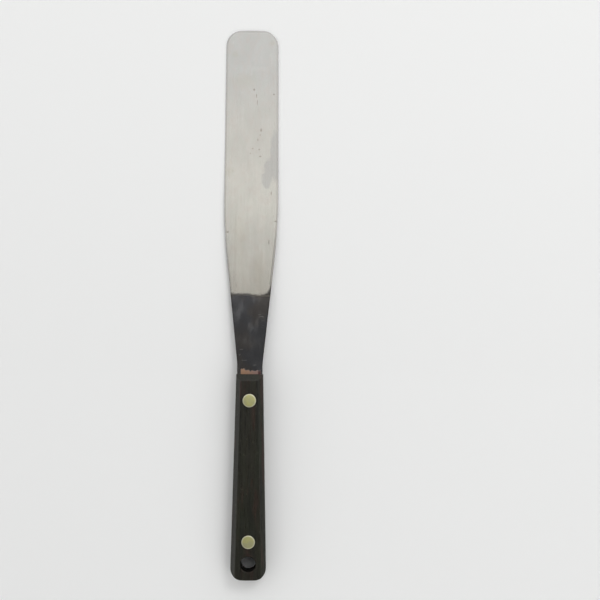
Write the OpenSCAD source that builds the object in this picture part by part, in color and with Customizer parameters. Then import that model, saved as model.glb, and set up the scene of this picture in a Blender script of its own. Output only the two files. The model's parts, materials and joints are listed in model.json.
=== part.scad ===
// Long flexible spatula-type putty knife: a ground spring-steel blade whose full-length tang
// lies between two chamfered hardwood scales, held by two brass compression rivets.
// +Y points to the blade tip, +X across the knife, +Z up through its thickness.
// The origin is under the middle of the knife, on the plane of the handle's lower face.

/* [Blade outline] */
// Length of the blade, from the front of the handle to the tip
blade_l = 203; // [180:1:230]
// Width of the blade at the shoulder, where the waist meets the sides
blade_w = 32; // [28:0.1:36]
// Width of the blade at the tip, before its corners are rounded
tip_w = 30.5; // [27:0.1:33]
// Radius of the two tip corners
tip_corner_r = 9; // [4:0.5:9.5]
// How far the tip edge bows out between its corners
tip_bow = 0.5; // [0.2:0.1:0.8]
// Width of the neck in front of the handle
neck_w = 15; // [13:0.1:15.8]
// Length of the straight neck
neck_l = 6; // [4:1:12]
// Distance from the handle to the shoulder
shoulder_l = 87; // [75:1:110]
// Radius that blends the waist into the sides
shoulder_r = 300; // [100:10:400]

/* [Blade thickness] */
// Thickness of the steel stock, kept by the tang and the shank
stock_t = 1.6; // [1.3:0.1:2]
// Distance from the handle to the line where the grinding starts
grind_l = 48; // [30:1:60]
// Thickness of the ground blade at that line
root_t = 0.85; // [0.7:0.05:1.1]
// Thickness of the ground blade at the tip
tip_t = 0.5; // [0.4:0.05:0.7]

/* [Handle] */
// Length of the handle
handle_l = 121; // [110:1:140]
// Width of the handle at its front
handle_front_w = 15.8; // [15.8:0.1:20]
// Width of the handle at its end, before its corners are rounded
handle_rear_w = 21.2; // [20:0.1:25]
// Radius of the two corners at the end
handle_corner_r = 6.7; // [3:0.1:7.2]
// How far the end bows out between its corners
handle_bow = 0.45; // [0.2:0.05:0.6]
// Thickness of each scale
scale_t = 6; // [5:0.1:8]
// Width of the chamfer along each side
side_chamfer = 2.75; // [1:0.05:3]
// Width of the chamfer across the front
front_chamfer = 3.5; // [1:0.1:4]

/* [Rivets] */
// Diameter of a rivet head
head_d = 8; // [6:0.1:9]
// Thickness of a rivet head
head_t = 1.6; // [1:0.1:2]
// Diameter of the hollow half's tube
tube_d = 4.8; // [4.4:0.1:5.4]
// Diameter of the solid half's pin
pin_d = 3.2; // [2.6:0.1:3.6]
// Distance from the handle's front to the front rivet
front_rivet = 15.3; // [12:0.1:30]
// Distance from the handle's end to the rear rivet
rear_rivet = 22.5; // [20:0.1:40]

/* [Hang hole] */
// Diameter of the hang hole
hang_d = 9; // [5:0.5:10]
// Distance from the end of the handle to the middle of the hole
hang_from_end = 9.6; // [8:0.1:10]

/* [Hidden] */
handle_t = 2 * scale_t + stock_t;
tip_y = (blade_l + handle_l) / 2;
butt_y = -tip_y;
front_y = butt_y + handle_l;
grind_y = front_y + grind_l;
rivet_ys = [front_y - front_rivet, butt_y + rear_rivet];
hang_y = butt_y + hang_from_end;

bow_r = 40;            // radius at the two faint corners of a bowed end
straight_share = 0.1;  // half of the end that runs straight across, as a share of its width
neck_r = 40;           // radius where the neck opens into the waist
front_corner_r = 0.5;
arc_steps = 12;        // straight steps in each rounded corner of an outline
taper_angle = atan((handle_rear_w - handle_front_w) / 2 / handle_l);

hole_gap = 0.03;       // between a rivet and the hole that it fills, a side
pin_gap = 0.02;        // between the pin and the tube, a side
head_recess = 0.05;    // a head's face lies this far below the wood
head_bevel = 0.3;
pin_bevel = 0.4;
between_heads = handle_t - 2 * (head_t + head_recess);
tube_l = between_heads - 1.1;
tube_bore_l = tube_l - 0.3;
pin_l = between_heads - 1.7;

wide = 60;             // wider than the knife
eps = 1;               // how far a cutting shape runs past what it cuts

$fn = 64;

// --- outlines, seen from above ---------------------------------------------------------

function unit(v) = v / norm(v);

// The arc that rounds corner b, which lies between a and c; each corner is [x, y, radius]
function corner_arc(a, b, c) =
    let (
        corner = [b[0], b[1]],
        back = unit([a[0], a[1]] - corner),
        ahead = unit([c[0], c[1]] - corner),
        half = acos(back * ahead) / 2,
        centre = corner + unit(back + ahead) * b[2] / sin(half),
        first = corner + back * b[2] / tan(half) - centre,
        start = atan2(first[1], first[0]),
        turn = -sign(cross(back, ahead)) * (180 - 2 * half)
    )
    [for (i = [0 : arc_steps])
        let (angle = start + turn * i / arc_steps)
        centre + b[2] * [cos(angle), sin(angle)]];

// A closed outline from its right-hand corners, listed from the first to the last, and their mirror
// images; a corner with no radius stays sharp
function both_sides(right) =
    let (
        n = len(right),
        all = concat(right, [for (i = [n - 1 : -1 : 0]) [-right[i][0], right[i][1], right[i][2]]])
    )
    [for (i = [0 : 2 * n - 1])
        each all[i][2] == 0
            ? [[all[i][0], all[i][1]]]
            : corner_arc(all[(i + 2 * n - 1) % (2 * n)], all[i], all[(i + 1) % (2 * n)])];

module blade_outline()
    polygon(both_sides([
        [neck_w / 2, front_y, 0],
        [neck_w / 2, front_y + neck_l, neck_r],
        [blade_w / 2, front_y + shoulder_l, shoulder_r],
        [tip_w / 2, tip_y - tip_bow, tip_corner_r],
        [tip_w * straight_share, tip_y, bow_r]
    ]));

module handle_outline()
    polygon(both_sides([
        [handle_rear_w * straight_share, butt_y, bow_r],
        [handle_rear_w / 2, butt_y + handle_bow, handle_corner_r],
        [handle_front_w / 2, front_y, front_corner_r]
    ]));

// --- steel -----------------------------------------------------------------------------

module handle_holes(rivet_hole_d)
{
    for (y = rivet_ys)
        translate([0, y, -eps]) cylinder(d = rivet_hole_d, h = handle_t + 2 * eps);
    translate([0, hang_y, -eps]) cylinder(d = hang_d, h = handle_t + 2 * eps);
}

// The unground stock: a tang as wide and as long as the handle, and the shank in front of it
module tang_and_shank()
    color([0.45, 0.45, 0.46])
    difference()
    {
        translate([0, 0, scale_t])
        linear_extrude(stock_t)
        union()
        {
            handle_outline();
            intersection()
            {
                blade_outline();
                translate([-wide / 2, front_y - eps]) square([wide, grind_l + eps]);
            }
        }
        handle_holes(tube_d + 2 * hole_gap);
    }

// The ground part of the same steel, which thins evenly from the grind line to the tip
module flexible_blade()
    color([0.77, 0.76, 0.73])
    translate([0, 0, handle_t / 2])
    intersection()
    {
        linear_extrude(stock_t, center = true)
        intersection()
        {
            blade_outline();
            translate([-wide / 2, grind_y]) square([wide, blade_l]);
        }
        rotate([90, 0, 90])
        linear_extrude(wide, center = true)
        polygon([
            [grind_y, -root_t / 2], [tip_y, -tip_t / 2],
            [tip_y, tip_t / 2], [grind_y, root_t / 2]
        ]);
    }

// --- wood ------------------------------------------------------------------------------

// A bar that cuts a 45 degree chamfer off an edge along -Y whose outside is towards +X and +Z
module chamfer_bar(width, length)
    rotate([90, 0, 0])
    linear_extrude(length)
    polygon([[-width - eps, eps], [eps, -width - eps], [eps, eps]]);

// The upper scale, with the plane between it and the tang at z = 0
module handle_scale()
    difference()
    {
        linear_extrude(scale_t) handle_outline();
        for (side = [0, 1])
            mirror([side, 0, 0])
            translate([handle_front_w / 2, front_y, scale_t])
            rotate([0, 0, taper_angle])
            translate([0, eps, 0])
            chamfer_bar(side_chamfer, handle_l + 2 * eps);
        translate([-wide / 2, front_y, scale_t])
        rotate([0, 0, 90])
        chamfer_bar(front_chamfer, wide);
        translate([0, 0, -scale_t]) handle_holes(tube_d + 2 * hole_gap);
        for (y = rivet_ys)
            translate([0, y, scale_t - head_t - head_recess])
            cylinder(d = head_d + 2 * hole_gap, h = head_t + eps);
    }

module upper_scale()
    color([0.19, 0.16, 0.13])
    translate([0, 0, scale_t + stock_t])
    handle_scale();

module lower_scale()
    color([0.17, 0.145, 0.12])
    translate([0, 0, scale_t])
    mirror([0, 0, 1])
    handle_scale();

// --- rivets ----------------------------------------------------------------------------

// A rivet head with its outer face up and its inner face at z = 0
module rivet_head()
{
    cylinder(d = head_d, h = head_t - head_bevel);
    translate([0, 0, head_t - head_bevel])
    cylinder(d1 = head_d, d2 = head_d - 2 * head_bevel, h = head_bevel);
}

// The hollow half, with its head in the upper scale
module rivet_female(y)
    color([0.72, 0.67, 0.42])
    translate([0, y, handle_t - head_recess - head_t])
    difference()
    {
        union()
        {
            rivet_head();
            translate([0, 0, -tube_l]) cylinder(d = tube_d, h = tube_l + head_t / 2);
        }
        translate([0, 0, -tube_l - eps])
        cylinder(d = pin_d + 2 * pin_gap, h = tube_bore_l + eps);
    }

// The solid half, whose pin is pressed into the tube from below
module rivet_male(y)
    color([0.72, 0.67, 0.42])
    translate([0, y, head_recess + head_t])
    {
        mirror([0, 0, 1]) rivet_head();
        translate([0, 0, -head_t / 2]) cylinder(d = pin_d, h = pin_l - pin_bevel + head_t / 2);
        translate([0, 0, pin_l - pin_bevel])
        cylinder(d1 = pin_d, d2 = pin_d - 2 * pin_bevel, h = pin_bevel);
    }

module front_rivet_female() rivet_female(rivet_ys[0]);
module front_rivet_male() rivet_male(rivet_ys[0]);
module rear_rivet_female() rivet_female(rivet_ys[1]);
module rear_rivet_male() rivet_male(rivet_ys[1]);

tang_and_shank();
flexible_blade();
upper_scale();
lower_scale();
front_rivet_female();
front_rivet_male();
rear_rivet_female();
rear_rivet_male();
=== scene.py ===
import json
import math

import bmesh
import bpy
import numpy
from mathutils import Matrix, Vector


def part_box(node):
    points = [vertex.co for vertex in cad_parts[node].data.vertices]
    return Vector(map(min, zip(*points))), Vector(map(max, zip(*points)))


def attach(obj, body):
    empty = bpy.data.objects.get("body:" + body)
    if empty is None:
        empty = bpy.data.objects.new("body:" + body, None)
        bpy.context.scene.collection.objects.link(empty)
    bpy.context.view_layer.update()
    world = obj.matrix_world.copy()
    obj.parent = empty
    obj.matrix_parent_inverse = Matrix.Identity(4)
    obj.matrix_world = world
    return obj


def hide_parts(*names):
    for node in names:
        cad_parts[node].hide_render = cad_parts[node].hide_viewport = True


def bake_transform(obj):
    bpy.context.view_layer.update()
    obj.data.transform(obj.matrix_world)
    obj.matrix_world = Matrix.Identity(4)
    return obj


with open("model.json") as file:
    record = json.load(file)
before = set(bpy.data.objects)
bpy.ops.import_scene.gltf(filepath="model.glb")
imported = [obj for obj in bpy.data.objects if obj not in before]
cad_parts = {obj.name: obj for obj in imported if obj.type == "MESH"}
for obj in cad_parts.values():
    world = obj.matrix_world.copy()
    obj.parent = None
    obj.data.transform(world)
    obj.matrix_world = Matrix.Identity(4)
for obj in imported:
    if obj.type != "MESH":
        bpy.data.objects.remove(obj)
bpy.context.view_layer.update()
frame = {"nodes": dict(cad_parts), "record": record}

MM = 0.001


# ---------------------------------------------------------------------------------------
# Blade: one piece of spring steel, blanked from flat stock. The tang and the shank keep the
# stock's thickness and its polish; ahead of the grind line both faces are ground thin and
# satin, so that the blade bends. The tang runs the full length of the handle.

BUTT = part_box("tang_and_shank")[0].y
HANDLE_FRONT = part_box("upper_scale")[1].y
GRIND_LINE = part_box("flexible_blade")[0].y
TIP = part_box("flexible_blade")[1].y
STEEL_LOW, STEEL_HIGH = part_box("tang_and_shank")[0].z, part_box("tang_and_shank")[1].z
MIDDLE = (STEEL_LOW + STEEL_HIGH) / 2
STOCK = STEEL_HIGH - STEEL_LOW
ROOT_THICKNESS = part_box("flexible_blade")[1].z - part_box("flexible_blade")[0].z
TIP_THICKNESS = 0.5 * MM

NECK_HALF = 7.5 * MM
NECK_END = HANDLE_FRONT + 6 * MM
SHOULDER_HALF = 16 * MM
SHOULDER = HANDLE_FRONT + 87 * MM
WAIST_SLOPE = (SHOULDER_HALF - NECK_HALF) / (SHOULDER - NECK_END)
TIP_HALF = 15.25 * MM
TIP_BOW = 0.5 * MM
HANDLE_FRONT_HALF = 7.9 * MM
HANDLE_REAR_HALF = 10.6 * MM
HANDLE_BOW = 0.45 * MM
STRAIGHT_SHARE = 0.2
EDGE_ROUNDING = 0.2 * MM
GRIND_OVERRUN = 0.5 * MM
GRIND_DIP = 0.7 * MM
DIP_FROM_X, DIP_TO_X = -3 * MM, 5 * MM
RUN_OUT = 0.9 * MM
RIVET_BOXES = [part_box("front_rivet_male"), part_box("rear_rivet_male")]
RIVET_YS = [(low.y + high.y) / 2 for low, high in RIVET_BOXES]
HANG_HOLE = next(mount for mount in frame["record"]["mounts"] if mount["name"] == "hang_hole")
HANG_Y = HANG_HOLE["pos_m"][1]
HANG_RADIUS = HANG_HOLE["dims"]["r_mm"] * MM
TUBE_HOLE_RADIUS = 2.43 * MM


def round_corner(bm, corner, turn_length, steps):
    """Rounds one corner of a flat outline, starting turn_length before it."""
    bmesh.ops.bevel(bm, geom=[corner], offset=turn_length, offset_type="OFFSET", segments=steps,
                    profile=0.5, affect="VERTICES", material=-1, clamp_overlap=False)


def rounded_outline(bm, right_side, height):
    """A flat face at a height, from its right-hand corners (x, y, turn length, steps) and their mirrors."""
    left_side = [(-x, y, turn, steps) for x, y, turn, steps in reversed(right_side)]
    corners = right_side + left_side
    verts = [bm.verts.new((x, y, height)) for x, y, _, _ in corners]
    bm.faces.new(verts)
    for vert, (_, _, turn, steps) in zip(verts, corners):
        if turn:
            round_corner(bm, vert, turn, steps)


def object_from(bm, name):
    mesh = bpy.data.meshes.new(name)
    bm.to_mesh(mesh)
    bm.free()
    piece = bpy.data.objects.new(name, mesh)
    bpy.context.scene.collection.objects.link(piece)
    return piece


def drill(piece, holes, through):
    """Cuts round holes (x, y, radius) through a piece along Z."""
    cutter_mesh = bmesh.new()
    for x, y, radius in holes:
        bmesh.ops.create_cone(cutter_mesh, cap_ends=True, segments=64, radius1=radius, radius2=radius,
                              depth=through, matrix=Matrix.Translation((x, y, MIDDLE)))
    cutter = object_from(cutter_mesh, "drill")
    cut = piece.modifiers.new("drill", "BOOLEAN")
    cut.operation, cut.solver, cut.object = "DIFFERENCE", "EXACT", cutter
    drilled = bpy.data.meshes.new_from_object(piece.evaluated_get(bpy.context.evaluated_depsgraph_get()))
    piece.modifiers.clear()
    piece.data = drilled
    bpy.data.objects.remove(cutter)


def smooth_between(low, high, value):
    share = min(max((value - low) / (high - low), 0), 1)
    return share * share * (3 - 2 * share)


def grind_border(x):
    """Where the grinding starts at a place across the blade, a little further back on the right."""
    return GRIND_LINE - GRIND_OVERRUN - GRIND_DIP * smooth_between(DIP_FROM_X, DIP_TO_X, x)


def steel_thickness(x, y):
    """The stock's thickness, a short run-out down to the grind border, then the ground thickness."""
    along = (y - GRIND_LINE) / (TIP - GRIND_LINE)
    ground = ROOT_THICKNESS + (TIP_THICKNESS - ROOT_THICKNESS) * max(along, 0)
    return STOCK + (ground - STOCK) * smooth_between(-RUN_OUT, 0, y - grind_border(x))


blank = bmesh.new()
rounded_outline(blank, [
    (HANDLE_REAR_HALF * STRAIGHT_SHARE, BUTT, 1.0 * MM, 4),
    (HANDLE_REAR_HALF, BUTT + HANDLE_BOW, 6.42 * MM, 16),
    (HANDLE_FRONT_HALF, HANDLE_FRONT, 0, 0),
    (NECK_HALF, HANDLE_FRONT, 0, 0),
    (NECK_HALF, NECK_END, 2.1 * MM, 4),
    (SHOULDER_HALF, SHOULDER, 16.7 * MM, 12),
    (TIP_HALF, TIP - TIP_BOW, 8.5 * MM, 24),
    (TIP_HALF * STRAIGHT_SHARE, TIP, 1.0 * MM, 4),
], STEEL_LOW)
sheet = bmesh.ops.extrude_face_region(blank, geom=blank.faces[:])
upper_face = [v for v in sheet["geom"] if isinstance(v, bmesh.types.BMVert)]
bmesh.ops.translate(blank, vec=(0, 0, STOCK), verts=upper_face)
bmesh.ops.recalc_face_normals(blank, faces=blank.faces)
blade = object_from(blank, "blade")
drill(blade, [(0, y, TUBE_HOLE_RADIUS) for y in RIVET_YS] + [(0, HANG_Y, HANG_RADIUS)], through=4 * STOCK)

steel = bmesh.new()
steel.from_mesh(blade.data)
bmesh.ops.remove_doubles(steel, verts=steel.verts, dist=1e-6)
rim = [e for e in steel.edges if abs(e.verts[0].co.z - e.verts[1].co.z) < 1e-7
       and e.is_manifold and e.calc_face_angle() > math.radians(60)]
bmesh.ops.bevel(steel, geom=rim, offset=EDGE_ROUNDING, offset_type="OFFSET", segments=3, profile=0.5,
                affect="EDGES", material=-1, clamp_overlap=False)

# Rows of points across the blade, close together where its thickness changes fast, and columns along it
GRIND_CUTS = [GRIND_LINE + (-2.4 + 0.2 * i) * MM for i in range(21)]
CORNER_CUTS = [GRIND_LINE + (2 + 0.5 * i) * MM for i in range(12)]
LONG_CUTS = [GRIND_LINE + (8 + 2.5 * i) * MM for i in range(59)]
SHANK_CUTS = [HANDLE_FRONT + 4 * i * MM for i in range(12)]
for y in GRIND_CUTS + CORNER_CUTS + LONG_CUTS + SHANK_CUTS:
    bmesh.ops.bisect_plane(steel, geom=steel.verts[:] + steel.edges[:] + steel.faces[:], dist=1e-6,
                           plane_co=(0, y, 0), plane_no=(0, 1, 0))
for column in range(-15, 16):
    ahead_of_handle = [f for f in steel.faces if f.calc_center_median().y > HANDLE_FRONT]
    parts = {v for f in ahead_of_handle for v in f.verts} | {e for f in ahead_of_handle for e in f.edges}
    bmesh.ops.bisect_plane(steel, geom=list(parts) + ahead_of_handle, dist=1e-6,
                           plane_co=(column * MM, 0, 0), plane_no=(1, 0, 0))

side_wall = sorted((v.co.y, v.co.x) for v in steel.verts if v.co.y >= HANDLE_FRONT and v.co.x > 0
                   and abs(v.co.z - MIDDLE) < STOCK / 2 - EDGE_ROUNDING + 0.01 * MM)
outline_ys, outline_xs = zip(*side_wall)

# Each point keeps its unbent place and its distance from the edge, in mm, for the finish
place_layer = steel.verts.layers.float_vector.new("rest_place")
edge_layer = steel.verts.layers.float.new("from_edge")
for vert in steel.verts:
    x, y, z = vert.co
    vert[place_layer] = (x / MM, y / MM, (z - MIDDLE) / MM)
    vert[edge_layer] = min(numpy.interp(y, outline_ys, outline_xs) - abs(x), TIP - y) / MM
    vert.co.z = MIDDLE + (z - MIDDLE) * steel_thickness(x, y) / STOCK
for face in steel.faces:
    face.smooth = True
for edge in steel.edges:
    edge.smooth = edge.calc_face_angle(0) < math.radians(35)
steel.to_mesh(blade.data)
steel.free()


class Nodes:
    """Shader nodes being wired up for a material or the world. Patterns are measured in millimetres."""

    def __init__(self, owner, shader="Principled BSDF"):
        owner.use_nodes = True
        self.tree = owner.node_tree
        self.shader = self.tree.nodes[shader]

    def add(self, kind, inputs, **settings):
        node = self.tree.nodes.new("ShaderNode" + kind)
        for setting, value in settings.items():
            setattr(node, setting, value)
        for socket, value in inputs.items():
            self.put(node.inputs[socket], value)
        return node

    def put(self, socket, value):
        if isinstance(value, bpy.types.NodeSocket):
            self.tree.links.new(value, socket)
        else:
            socket.default_value = value

    def surface(self, **inputs):
        for socket, value in inputs.items():
            self.put(self.shader.inputs[socket.replace("_", " ")], value)

    def place(self):
        """The piece's own coordinates."""
        coordinates = self.add("TexCoord", {}).outputs["Object"]
        return self.add("Mapping", {"Vector": coordinates, "Scale": (1 / MM, 1 / MM, 1 / MM)}).outputs[0]

    def stretched(self, place, per_mm, shift=(0, 0, 0)):
        """The place with a pattern's number of repeats in each direction."""
        return self.add("Mapping", {"Vector": place, "Scale": per_mm, "Location": shift}).outputs[0]

    def noise(self, place, per_mm, shift=(0, 0, 0), detail=3, roughness=0.5):
        vector = self.stretched(place, per_mm, shift)
        return self.add("TexNoise", {"Vector": vector, "Scale": 1, "Detail": detail,
                                     "Roughness": roughness}).outputs["Fac"]

    def ramp(self, value, low, high, at_low=0.0, at_high=1.0):
        """Turns a value smoothly from at_low to at_high as it goes from low to high."""
        return self.add("MapRange", {"Value": value, "From Min": low, "From Max": high, "To Min": at_low,
                                     "To Max": at_high}, interpolation_type="SMOOTHSTEP").outputs[0]

    def math(self, operation, a, b=0.0):
        return self.add("Math", {0: a, 1: b}, operation=operation).outputs[0]

    def product(self, *values):
        result = values[0]
        for value in values[1:]:
            result = self.math("MULTIPLY", result, value)
        return result

    def total(self, *values):
        result = values[0]
        for value in values[1:]:
            result = self.math("ADD", result, value)
        return result

    def rounded_meeting(self, a, b, radius):
        """Distance inside the corner of two edges that lie a and b away, rounded to about a radius."""
        return self.add("Math", {0: a, 1: b, 2: 1.17 * radius}, operation="SMOOTH_MIN").outputs[0]

    def mix(self, share, a, b):
        """Colour a where share is 0 and b where it is 1."""
        node = self.add("Mix", {"Factor": share}, data_type="RGBA")
        self.put(node.inputs[6], a if isinstance(a, bpy.types.NodeSocket) else (*a, 1))
        self.put(node.inputs[7], b if isinstance(b, bpy.types.NodeSocket) else (*b, 1))
        return node.outputs[2]

    def blend_values(self, share, a, b):
        """Value a where share is 0 and b where it is 1."""
        return self.add("Mix", {"Factor": share, 2: a, 3: b}, data_type="FLOAT").outputs[0]

    def scratches(self, place, angle, per_mm, shift, rarity):
        """Fine straight marks, 1 on a mark and 0 beside it, at an angle to the piece's length."""
        turned = {"Rotation": (0, 0, math.radians(angle)), "Scale": [1 / repeats for repeats in per_mm],
                  "Location": shift}
        turned_place = self.add("Mapping", {"Vector": place, **turned}, vector_type="TEXTURE").outputs[0]
        marks = self.add("TexNoise", {"Vector": turned_place, "Scale": 1, "Detail": 0}).outputs["Fac"]
        return self.ramp(marks, rarity, rarity + 0.06)

    def spots(self, place, marks, softness=0.25):
        """1 inside any of some oval marks (x, y, half width, half length in mm), 0 outside them."""
        found = 0.0
        for x, y, across, along in marks:
            oval = self.stretched(place, (1 / across, 1 / along, 0), (-x / across, -y / along, 0))
            away = self.add("VectorMath", {0: oval}, operation="LENGTH").outputs["Value"]
            found = self.math("MAXIMUM", found, self.ramp(away, 1 + softness, 1 - softness))
        return found

    def hole_wall(self, place, y, radius):
        """1 on the wall of a round hole (y and radius in mm), 0 on the faces around it."""
        from_middle = self.stretched(place, (1, 1, 0), (0, -y, 0))
        away = self.add("VectorMath", {0: from_middle}, operation="LENGTH").outputs["Value"]
        return self.ramp(away, radius + 0.3, radius + 0.1)

    def wobbled(self, place, per_mm, by_mm):
        """The place pushed about by a noise, so that marks laid out in it get uneven outlines."""
        vector = self.stretched(place, (per_mm, per_mm, 0))
        push = self.add("TexNoise", {"Vector": vector, "Scale": 1, "Detail": 2}).outputs["Color"]
        centred = self.add("VectorMath", {0: push, 1: (0.5, 0.5, 0.5)}, operation="SUBTRACT").outputs[0]
        scaled = self.add("VectorMath", {0: centred, 1: (by_mm, by_mm, 0)}, operation="MULTIPLY").outputs[0]
        return self.add("VectorMath", {0: place, 1: scaled}, operation="ADD").outputs[0]

    def bump(self, height, depth_mm, strength):
        inputs = {"Height": height, "Distance": depth_mm * MM, "Strength": strength}
        return self.add("Bump", inputs).outputs[0]


# Colours: the ground blade from root to tip, lighter towards the root as painted light, the polished shank,
# darkened as a painted reflection, and the stain from left to right
SATIN_ROOT = (0.76, 0.725, 0.645)
SATIN_NEAR = (0.69, 0.672, 0.615)
SATIN_FAR = (0.6, 0.585, 0.545)
SATIN_TIP = (0.55, 0.55, 0.535)
# The polished shank's blue and brown tints are the steel's own; their darkness is a painted reflection of
# the dark ceiling.
POLISH_BLUE_PAINTED_DARK, POLISH_BROWN_PAINTED_DARK = (0.178, 0.178, 0.188), (0.196, 0.181, 0.172)
STAIN_TAN, STAIN_GREY, STAIN_DARK = (0.33, 0.19, 0.115), (0.26, 0.165, 0.14), (0.08, 0.033, 0.03)

# Places marked by use, as ovals: x, y, half width, half length, in mm
PITS = [
    (1.2, 127.2, 0.55, 0.65), (2.6, 123.5, 0.3, 1.2), (3.2, 119.5, 0.25, 1.4), (12.9, 124.5, 0.5, 0.5),
    (5.5, 103.3, 0.6, 0.9), (4.4, 91.8, 0.45, 0.45), (0.6, 92.4, 0.35, 0.35), (5.0, 87.7, 0.6, 0.4),
    (14.6, 49.4, 0.8, 0.5), (-13.9, 42.9, 0.7, 0.6), (3.6, 97.5, 0.3, 0.8), (-0.8, 89.5, 0.3, 0.4),
    (11.8, 66, 0.3, 1.1), (10.6, 37, 0.3, 1.4),
]
GREY_PATCH = [(14.8, 88, 3.6, 15), (11.1, 80.5, 4.2, 6.5), (9.2, 74, 3.4, 5)]
RUBBED_BLADE = [(9.5, 107.7, 5, 4), (4, 139.5, 6, 1.4), (12, 145, 2, 4)]
TARNISH = [
    (-4.9, 132, 6, 4), (-13.5, 79, 2.6, 2.4), (-7, 40, 4, 12), (5, 20, 3, 9), (12.4, 155, 1.8, 1.2),
    (-10.2, 148, 1.4, 1.4),
]
KNOCKS = [
    (6.6, -7, 1.5, 0.3), (5.4, -5.8, 0.9, 0.25), (-5.2, -26.4, 1.1, 0.35), (-6.0, -29.5, 0.5, 0.6),
    (-3.4, -32.8, 1.6, 0.28), (2.8, -35.6, 1.1, 0.35),
]
RUBBED_SHANK = [(-7.6, -4, 1.8, 9), (3.2, -35.2, 2.2, 1.8), (0.5, -19, 3.5, 5)]


def steel_finish(steel_material):
    """Satin where ground, polished on the shank, worn by use, stained in front of the handle. Painted light
    and shade: the shank's dark colour is a painted reflection of the ceiling, the satin lightens towards
    the root, and the edges, the grind's run-out and the hang hole's wall are darkened.
    """
    grind_line, handle_front = GRIND_LINE / MM, HANDLE_FRONT / MM
    nodes = Nodes(steel_material)
    place = nodes.add("Attribute", {}, attribute_name="rest_place").outputs["Vector"]
    axes = nodes.add("SeparateXYZ", {"Vector": place}).outputs
    x, y = axes["X"], axes["Y"]
    ragged = nodes.ramp(nodes.noise(place, (1.2, 0.8, 1.2), shift=(8, 8, 8)), 0.3, 0.7, -0.2, 0.2)
    dip = nodes.ramp(x, DIP_FROM_X / MM, DIP_TO_X / MM, 0, GRIND_DIP / MM)
    ahead = nodes.total(y, GRIND_OVERRUN / MM - grind_line, dip, ragged)
    half_width = nodes.total(nodes.product(y, WAIST_SLOPE), (NECK_HALF - WAIST_SLOPE * NECK_END) / MM)
    from_side = nodes.math("SUBTRACT", half_width, x)
    in_from_right = nodes.total(from_side, nodes.ramp(y, grind_line, grind_line + 8, -0.7, 0.3))
    in_from_left = nodes.total(half_width, x, 0.3)
    ground = nodes.rounded_meeting(nodes.rounded_meeting(ahead, in_from_right, 6), in_from_left, 2)
    is_ground = nodes.ramp(ground, -0.4, 0.9)

    from_edge = nodes.add("Attribute", {}, attribute_name="from_edge").outputs["Fac"]
    uneven = nodes.wobbled(place, 0.2, 4)
    hole_wall_shade = nodes.hole_wall(place, HANG_Y / MM, HANG_RADIUS / MM)

    brushing = nodes.noise(place, (6, 0.07, 6), detail=4, roughness=0.7)
    bands = nodes.noise(place, (0.9, 0.012, 0.9), shift=(3, 0, 1), detail=3)
    clouds = nodes.noise(place, (0.1, 0.06, 0.1), shift=(3, 7, 1), detail=4)
    mottle = nodes.noise(place, (0.34, 0.2, 0.34), shift=(5, 2, 7), detail=3, roughness=0.6)
    strokes = nodes.scratches(place, 2, (2.6, 0.22, 2.6), (5, 0, 0), 0.75)
    cross_strokes = nodes.scratches(place, -38, (2.4, 0.25, 2.4), (1, 6, 0), 0.78)
    cells = nodes.add("TexVoronoi", {"Vector": nodes.stretched(place, (0.2, 0.11, 0.2)), "Scale": 1,
                                     "Randomness": 1}, feature="F1").outputs["Distance"]
    specks = nodes.product(nodes.ramp(cells, 0.03, 0.08, 1, 0), nodes.ramp(clouds, 0.45, 0.55))
    pits = nodes.spots(nodes.wobbled(place, 1.5, 0.6), PITS)
    grey_patch = nodes.spots(uneven, GREY_PATCH, 0.22)
    rubbed_blade = nodes.spots(uneven, RUBBED_BLADE, 0.95)
    tarnish = nodes.spots(uneven, TARNISH, 0.8)
    wheel_line = nodes.product(nodes.ramp(from_side, 0.7, 0.95), nodes.ramp(from_side, 1.1, 1.4, 1, 0),
                               nodes.ramp(y, 9, 14), nodes.ramp(y, 36, 47, 1, 0))

    # Painted light: the satin's base colour grows lighter towards the root, offsetting the dark reflection
    # of the ceiling there; its warmer tint near the root is the steel's own.
    satin = nodes.mix(nodes.ramp(y, 100, 145), SATIN_FAR, SATIN_TIP)
    satin = nodes.mix(nodes.ramp(y, 110, 55), satin, SATIN_NEAR)
    satin = nodes.mix(nodes.ramp(y, 40, 6), satin, SATIN_ROOT)
    satin = nodes.mix(nodes.ramp(clouds, 0.35, 0.65, 0, 0.15), satin, (0.42, 0.41, 0.38))
    banding = nodes.product(nodes.ramp(bands, 0.35, 0.65), nodes.ramp(y, 30, 75, 0.14, 0.05))
    satin = nodes.mix(banding, satin, (0.46, 0.44, 0.4))
    satin = nodes.mix(nodes.ramp(mottle, 0.4, 0.7, 0, 0.16), satin, (0.58, 0.48, 0.42))
    satin = nodes.mix(nodes.ramp(mottle, 0.55, 0.3, 0, 0.12), satin, (0.5, 0.53, 0.44))
    satin = nodes.mix(nodes.product(grey_patch, 0.46), satin, (0.42, 0.42, 0.42))
    satin = nodes.mix(nodes.product(rubbed_blade, 0.12), satin, (0.72, 0.72, 0.7))
    satin = nodes.mix(nodes.product(tarnish, 0.17), satin, (0.48, 0.44, 0.33))
    satin = nodes.mix(nodes.product(strokes, 0.22), satin, (0.34, 0.32, 0.28))
    satin = nodes.mix(nodes.product(cross_strokes, 0.3), satin, (0.8, 0.79, 0.76))
    satin = nodes.mix(nodes.product(nodes.math("MAXIMUM", specks, pits), 0.45), satin, (0.24, 0.2, 0.16))
    satin = nodes.mix(nodes.product(wheel_line, 0.5), satin, (0.22, 0.2, 0.17))
    # Painted shade: the satin darkens within about a millimetre of the blade's edges.
    satin = nodes.mix(nodes.ramp(from_edge, 1.3, 0.5, 0, 0.45), satin, (0.36, 0.355, 0.35))
    satin = nodes.mix(nodes.ramp(brushing, 0.3, 0.7, 0, 0.07), satin, (0.42, 0.41, 0.39))

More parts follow.
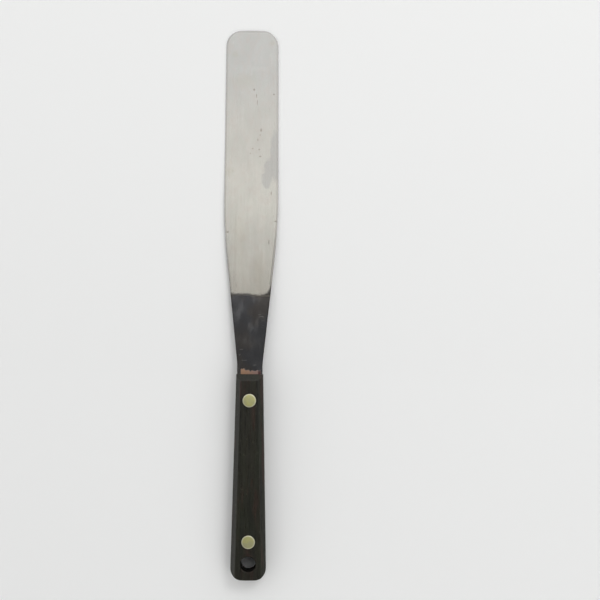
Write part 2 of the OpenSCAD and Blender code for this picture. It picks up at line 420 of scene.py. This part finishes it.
    haze = nodes.noise(place, (0.3, 0.12, 0.3), shift=(2, 9, 4), detail=4, roughness=0.6)
    tint = nodes.noise(place, (0.07, 0.05, 0.07), shift=(6, 1, 9), detail=2)
    hairlines = nodes.math("MAXIMUM", nodes.scratches(place, 78, (4, 0.2, 4), (3, 3, 0), 0.8),
                           nodes.scratches(place, -14, (4, 0.14, 4), (9, 4, 0), 0.8))
    knocks = nodes.spots(nodes.wobbled(place, 1.1, 1.2), KNOCKS)
    rubbed_shank = nodes.spots(uneven, RUBBED_SHANK, 0.9)
    # Painted reflection: the polished steel's base colour is dark, standing in for the dark ceiling
    # mirrored in it.
    polished = nodes.mix(nodes.ramp(tint, 0.42, 0.58), POLISH_BLUE_PAINTED_DARK, POLISH_BROWN_PAINTED_DARK)
    polished = nodes.mix(nodes.ramp(haze, 0.45, 0.75, 0, 0.14), polished, (0.4, 0.4, 0.4))
    polished = nodes.mix(nodes.product(rubbed_shank, 0.1), polished, (0.45, 0.45, 0.46))
    polished = nodes.mix(nodes.product(hairlines, 0.22), polished, (0.7, 0.69, 0.66))
    polished = nodes.mix(nodes.product(knocks, 0.28), polished, (0.72, 0.71, 0.68))
    # Painted shade: the polished steel darkens towards its edges.
    polished = nodes.mix(nodes.ramp(from_edge, 1.0, 0.3, 0, 0.5), polished, (0.08, 0.08, 0.08))
    # Painted shade: the polished steel is darkened over the sloped step where the grinding starts.
    run_out_shade = nodes.product(nodes.ramp(ahead, -1.5, -0.9), nodes.ramp(ahead, 0, 0.7, 0.7, 0.2))
    polished = nodes.mix(run_out_shade, polished, (0.05, 0.045, 0.035))

    stain_edge = nodes.total(y, nodes.ramp(nodes.noise(place, (0.9, 0.3, 0.9)), 0.3, 0.7, -0.5, 0.5),
                             nodes.ramp(x, -3.6, -2.4, -0.2, 0.8))
    stain = nodes.product(nodes.ramp(stain_edge, handle_front + 3.1, handle_front + 2.3),
                          nodes.ramp(y, handle_front - 1, handle_front - 0.5),
                          nodes.ramp(x, -5.6, -5.1), nodes.ramp(x, 6.9, 6.3))
    stain_colour = nodes.mix(nodes.ramp(x, -3, 4.2), STAIN_TAN, STAIN_GREY)
    stain_colour = nodes.mix(nodes.ramp(x, 4.4, 5.2), stain_colour, STAIN_DARK)

    metal = nodes.mix(is_ground, polished, satin)
    # Painted shade: the steel on the hang hole's wall is darkened and made rough.
    metal = nodes.mix(hole_wall_shade, metal, (0.06, 0.055, 0.05))
    satin_roughness = nodes.ramp(brushing, 0.3, 0.7, 0.2, 0.27)
    polished_roughness = nodes.ramp(haze, 0.45, 0.75, 0.13, 0.2)
    roughness = nodes.blend_values(is_ground, polished_roughness, satin_roughness)
    roughness = nodes.math("MAXIMUM", roughness, nodes.product(hole_wall_shade, 0.8))
    heights = nodes.math("SUBTRACT", nodes.product(brushing, 0.4), nodes.math("ADD", strokes, pits))
    nodes.surface(Base_Color=nodes.mix(stain, metal, stain_colour),
                  Metallic=nodes.math("SUBTRACT", 1.0, stain),
                  Roughness=nodes.blend_values(stain, roughness, 0.7),
                  Normal=nodes.bump(heights, 0.008, 0.3))


blade_steel = bpy.data.materials.new("blade_steel")
steel_finish(blade_steel)
blade.data.materials.clear()
blade.data.materials.append(blade_steel)
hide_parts("tang_and_shank", "flexible_blade")
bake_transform(blade)


# ---------------------------------------------------------------------------------------
# Scales: two halves of dark oiled rosewood, sawn flat inside, chamfered along the sides and
# across the front, then sanded flush with the tang so that every edge is a little soft.

OUTER_EASE = 0.35 * MM
TANG_EASE = 0.12 * MM
RIVET_EASE = 0.08 * MM
HOLE_EASE = 0.4 * MM
COUNTERBORE_REACH = 4.3 * MM

HEARTWOOD_BLACK, HEARTWOOD_DARK = (0.006, 0.006, 0.0032), (0.014, 0.013, 0.0072)
OLIVE_STREAK, RED_STREAK = (0.0145, 0.0175, 0.008), (0.03, 0.0125, 0.0085)


def on_rim(edge, y, reach):
    """Whether an edge's middle lies within reach of the upright axis of a hole at y."""
    middle = (edge.verts[0].co + edge.verts[1].co) / 2
    return (middle - Vector((0, y, middle.z))).length < reach


def eased_scale(node, inner_face):
    """The sawn scale with its arrises softened, more outside than against the tang and the rivets."""
    wood = bmesh.new()
    wood.from_mesh(frame["nodes"][node].data)
    bmesh.ops.remove_doubles(wood, verts=wood.verts, dist=2e-6)
    bmesh.ops.dissolve_limit(wood, angle_limit=math.radians(0.5), verts=wood.verts, edges=wood.edges)
    arrises = [e for e in wood.edges if e.is_manifold and e.calc_face_angle() > math.radians(18)]
    groups = {RIVET_EASE: [], TANG_EASE: [], HOLE_EASE: [], OUTER_EASE: []}
    for edge in arrises:
        on_inner_face = all(abs(v.co.z - inner_face) < 1e-5 for v in edge.verts)
        if any(on_rim(edge, y, COUNTERBORE_REACH) for y in RIVET_YS):
            groups[RIVET_EASE].append(edge)
        elif on_inner_face:
            groups[TANG_EASE].append(edge)
        elif on_rim(edge, HANG_Y, HANG_RADIUS + 0.1 * MM):
            groups[HOLE_EASE].append(edge)
        else:
            groups[OUTER_EASE].append(edge)
    for width, edges in groups.items():
        edges = [e for e in edges if e.is_valid]
        bmesh.ops.bevel(wood, geom=edges, offset=width, offset_type="OFFSET", segments=3, profile=0.5,
                        affect="EDGES", material=-1, clamp_overlap=True)
    for face in wood.faces:
        face.smooth = True
    return object_from(wood, f"{node}_wood")


def wood_finish(wood_material):
    """Dark rosewood: near-black heartwood, olive and red streaks along it, fine open pores, thin oil. The
    hang hole's wall is darkened as painted shade.
    """
    nodes = Nodes(wood_material)
    place = nodes.place()
    wander = nodes.noise(place, (0.09, 0.02, 0.09), shift=(1, 0, 5), detail=2)
    streaks = nodes.noise(place, (0.5, 0.02, 0.5), shift=(4, 0, 2), detail=5, roughness=0.6)
    fine_grain = nodes.noise(place, (4.5, 0.12, 4.5), shift=(1, 3, 8), detail=3, roughness=0.65)
    pores = nodes.ramp(nodes.noise(place, (5.5, 0.4, 5.5), shift=(7, 1, 3), detail=1), 0.66, 0.74)
    red = nodes.noise(place, (0.22, 0.03, 0.22), shift=(9, 4, 0), detail=3)
    dents = nodes.scratches(place, 12, (2.2, 0.5, 2.2), (2, 2, 2), 0.76)
    hole_wall_shade = nodes.hole_wall(place, HANG_Y / MM, HANG_RADIUS / MM)
    colour = nodes.mix(nodes.ramp(streaks, 0.4, 0.6), HEARTWOOD_BLACK, HEARTWOOD_DARK)
    colour = nodes.mix(nodes.product(nodes.ramp(wander, 0.5, 0.66), 0.5), colour, OLIVE_STREAK)
    colour = nodes.mix(nodes.product(nodes.ramp(red, 0.54, 0.66), 0.65), colour, RED_STREAK)
    colour = nodes.mix(nodes.ramp(fine_grain, 0.45, 0.75, 0, 0.35), colour, (0.026, 0.026, 0.016))
    colour = nodes.mix(nodes.product(dents, 0.35), colour, (0.09, 0.085, 0.06))
    colour = nodes.mix(nodes.product(pores, 0.7), colour, (0.003, 0.003, 0.002))
    # Painted shade: the wood on the hang hole's wall is darkened, and its reflection is cut down.
    colour = nodes.mix(nodes.product(hole_wall_shade, 0.8), colour, (0.007, 0.0065, 0.005))
    oiled_roughness = nodes.ramp(fine_grain, 0.3, 0.7, 0.26, 0.38)
    heights = nodes.math("SUBTRACT", nodes.product(fine_grain, 0.3), pores)
    nodes.surface(Base_Color=colour,
                  Roughness=nodes.math("MAXIMUM", oiled_roughness, nodes.product(hole_wall_shade, 0.95)),
                  Specular_IOR_Level=nodes.ramp(hole_wall_shade, 0, 1, 0.46, 0.05),
                  Normal=nodes.bump(heights, 0.03, 0.4))


rosewood = bpy.data.materials.new("rosewood")
wood_finish(rosewood)
for node, inner_face in (("upper_scale", STEEL_HIGH), ("lower_scale", STEEL_LOW)):
    scale = eased_scale(node, inner_face)
    flats = scale.modifiers.new("flats", "WEIGHTED_NORMAL")
    flats.weight = 100
    scale.data.materials.clear()
    scale.data.materials.append(rosewood)
    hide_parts(node)
    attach(scale, "handle")


# ---------------------------------------------------------------------------------------
# Rivets: two brass compression rivets. A hollow half goes in from above and a solid half is
# driven up into it; both heads are then ground flush with the wood.

HEAD_RADIUS = 4 * MM
HEAD_FLAT_RADIUS = 3.35 * MM
HEAD_DEPTH = 1.6 * MM
TUBE_RADIUS = 2.4 * MM
TUBE_BORE_DEPTH = 8.9 * MM
TUBE_BORE_RADIUS = 1.62 * MM
PIN_RADIUS = 1.6 * MM
PIN_BEVEL = 0.4 * MM

# The lightest brass colour is a painted highlight on the heads' sloped rims.
BRASS_YELLOW, BRASS_DULL, BRASS_RIM_HIGHLIGHT = (0.62, 0.6, 0.25), (0.54, 0.53, 0.3), (0.74, 0.72, 0.56)


def turned(name, profile):
    """A solid turned about Z from its half profile (radius, height), which starts and ends on the axis."""
    bm = bmesh.new()
    verts = [bm.verts.new((radius, 0, height)) for radius, height in profile]
    edges = [bm.edges.new(pair) for pair in zip(verts, verts[1:])]
    bmesh.ops.spin(bm, geom=verts + edges, cent=(0, 0, 0), axis=(0, 0, 1), angle=math.tau, steps=64,
                   use_merge=True, use_duplicate=False)
    bmesh.ops.remove_doubles(bm, verts=bm.verts, dist=1e-6)
    bmesh.ops.recalc_face_normals(bm, faces=bm.faces)
    for face in bm.faces:
        face.smooth = True
    for edge in bm.edges:
        edge.smooth = edge.calc_face_angle(0) < math.radians(35)
    return object_from(bm, name)


def head_profile(face, direction):
    """From the middle of a head's ground face, over its rim, to the outer edge of its underside."""
    return [
        (0, face), (HEAD_FLAT_RADIUS, face), (3.6 * MM, face - direction * 0.03 * MM),
        (3.85 * MM, face - direction * 0.1 * MM), (HEAD_RADIUS, face - direction * 0.28 * MM),
        (HEAD_RADIUS, face - direction * HEAD_DEPTH),
    ]


def brass_finish(brass_material):
    """Brass ground flush and dulled by handling, with sanding marks along the handle. The sloped rim of
    each head carries a painted highlight.
    """
    nodes = Nodes(brass_material)
    place = nodes.place()
    sanding = nodes.noise(place, (9, 0.5, 9), detail=3, roughness=0.7)
    tarnish = nodes.noise(place, (0.35, 0.25, 0.35), shift=(2, 5, 0), detail=3)
    flats = [(0, y / MM, HEAD_FLAT_RADIUS / MM, HEAD_FLAT_RADIUS / MM) for y in RIVET_YS]
    rim = nodes.math("SUBTRACT", 1.0, nodes.spots(place, flats, 0.05))
    colour = nodes.mix(nodes.ramp(tarnish, 0.35, 0.65), BRASS_YELLOW, BRASS_DULL)
    colour = nodes.mix(nodes.ramp(sanding, 0.45, 0.75, 0, 0.35), colour, (0.36, 0.34, 0.2))
    # Painted highlight: the sloped rim around each head's flat face is lighter.
    colour = nodes.mix(nodes.product(rim, 0.75), colour, BRASS_RIM_HIGHLIGHT)
    nodes.surface(Base_Color=colour, Metallic=1.0, Roughness=nodes.ramp(sanding, 0.3, 0.7, 0.36, 0.5),
                  Normal=nodes.bump(sanding, 0.01, 0.5))


brass = bpy.data.materials.new("rivet_brass")
brass_finish(brass)
for end, y in zip(("front", "rear"), RIVET_YS):
    female, male = f"{end}_rivet_female", f"{end}_rivet_male"
    top, tube_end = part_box(female)[1].z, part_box(female)[0].z
    bottom, pin_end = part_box(male)[0].z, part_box(male)[1].z
    bore_end = tube_end + TUBE_BORE_DEPTH
    female_profile = head_profile(top, 1) + [
        (TUBE_RADIUS, top - HEAD_DEPTH), (TUBE_RADIUS, tube_end), (TUBE_BORE_RADIUS, tube_end),
        (TUBE_BORE_RADIUS, bore_end), (0, bore_end),
    ]
    male_profile = head_profile(bottom, -1) + [
        (PIN_RADIUS, bottom + HEAD_DEPTH), (PIN_RADIUS, pin_end - PIN_BEVEL),
        (PIN_RADIUS - PIN_BEVEL, pin_end), (0, pin_end),
    ]
    for node, profile in ((female, female_profile), (male, male_profile)):
        rivet = turned(f"{node}_brass", profile)
        rivet.data.transform(Matrix.Translation((0, y, 0)))
        rivet.data.materials.append(brass)
        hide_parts(node)
        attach(rivet, "handle")


# ---------------------------------------------------------------------------------------
# Floor, light and camera. The handle lies flat on pale paper, which swells up under the blade
# until it carries it, so that the thin blade casts only a thin shadow. The light comes from all
# around, a little more from the right; the ceiling and the foot of the right wall are dark.

FLOOR_HALF = 8.0
FLOOR_GAP = 0.03 * MM
SWELL_START = HANDLE_FRONT - 3.5 * MM
SWELL_LENGTH = 150 * MM
SWELL_ROWS = 60
SWELL_HEIGHT = MIDDLE - TIP_THICKNESS / 2 - 0.1 * MM


def paper_height(y):
    left_to_climb = 1 - min(max((y - SWELL_START) / SWELL_LENGTH, 0), 1)
    return SWELL_HEIGHT * (1 - left_to_climb ** 2) - FLOOR_GAP


floor_mesh = bmesh.new()
bmesh.ops.create_grid(floor_mesh, x_segments=1, y_segments=1, size=FLOOR_HALF)
for row in range(SWELL_ROWS + 1):
    y = SWELL_START + row * SWELL_LENGTH / SWELL_ROWS
    bmesh.ops.bisect_plane(floor_mesh, geom=floor_mesh.verts[:] + floor_mesh.edges[:] + floor_mesh.faces[:],
                           dist=1e-6, plane_co=(0, y, 0), plane_no=(0, 1, 0))
for vert in floor_mesh.verts:
    vert.co.z = paper_height(vert.co.y)
for face in floor_mesh.faces:
    face.smooth = True
floor = object_from(floor_mesh, "floor")
PAPER_WHITE = (0.89, 0.893, 0.89, 1)
paper = bpy.data.materials.new("paper")
Nodes(paper).surface(Base_Color=PAPER_WHITE, Roughness=0.9)
floor.data.materials.append(paper)

ROOM_LIGHT = 1.0
HORIZON_SHARE = 0.75
RIGHT_WALL_SHARE = 0.2
EXTRA_FROM_RIGHT = 0.05
room = bpy.data.worlds.new("room")
bpy.context.scene.world = room
nodes = Nodes(room, "Background")
direction = nodes.add("TexCoord", {}).outputs["Generated"]
axes = nodes.add("SeparateXYZ", {"Vector": direction}).outputs
horizon = nodes.ramp(axes["Z"], 0, 0.5, HORIZON_SHARE, 1.0)
from_right = nodes.math("ADD", 1.0, nodes.product(axes["X"], EXTRA_FROM_RIGHT))
right_wall = nodes.ramp(axes["X"], 0.75, 0.95, 1.0, RIGHT_WALL_SHARE)
nodes.surface(Color=(1, 1, 0.995, 1), Strength=nodes.product(horizon, from_right, right_wall, ROOM_LIGHT))

CEILING_WIDTH, CEILING_LENGTH = 1.0, 0.9
CEILING_PLACE = (-0.18, -0.42, 0.95)
CEILING_GREY = (0.2, 0.2, 0.2, 1)
card_mesh = bmesh.new()
bmesh.ops.create_grid(card_mesh, x_segments=1, y_segments=1, size=0.5)
bmesh.ops.scale(card_mesh, verts=card_mesh.verts, vec=(CEILING_WIDTH, CEILING_LENGTH, 1))
bmesh.ops.translate(card_mesh, verts=card_mesh.verts, vec=CEILING_PLACE)
card = object_from(card_mesh, "dark_ceiling")
ceiling = bpy.data.materials.new("dark_ceiling")
Nodes(ceiling).surface(Base_Color=CEILING_GREY, Roughness=1.0)
card.data.materials.append(ceiling)

KEY_WIDTH = 0.7
KEY_WATTS = 5.0
KEY_PLACE = (0.6, 0.9, 1.6)
lamp_data = bpy.data.lights.new("key_light", "AREA")
lamp_data.shape, lamp_data.size, lamp_data.energy = "DISK", KEY_WIDTH, KEY_WATTS
key_light = bpy.data.objects.new("key_light", lamp_data)
bpy.context.scene.collection.objects.link(key_light)
key_light.location = KEY_PLACE
key_light.rotation_euler = Vector(KEY_PLACE).to_track_quat("Z", "Y").to_euler()

CAMERA_PLACE = (29.3 * MM, 3.05 * MM, 0.9)
CAMERA_ROLL = math.radians(0.47)
CAMERA_LENS = 90.6
camera_data = bpy.data.cameras.new("camera")
camera_data.lens = CAMERA_LENS
camera = bpy.data.objects.new("camera", camera_data)
bpy.context.scene.collection.objects.link(camera)
camera.location = CAMERA_PLACE
camera.rotation_euler = (0, 0, CAMERA_ROLL)
bpy.context.scene.camera = camera
bpy.context.scene.view_settings.view_transform = "Standard"
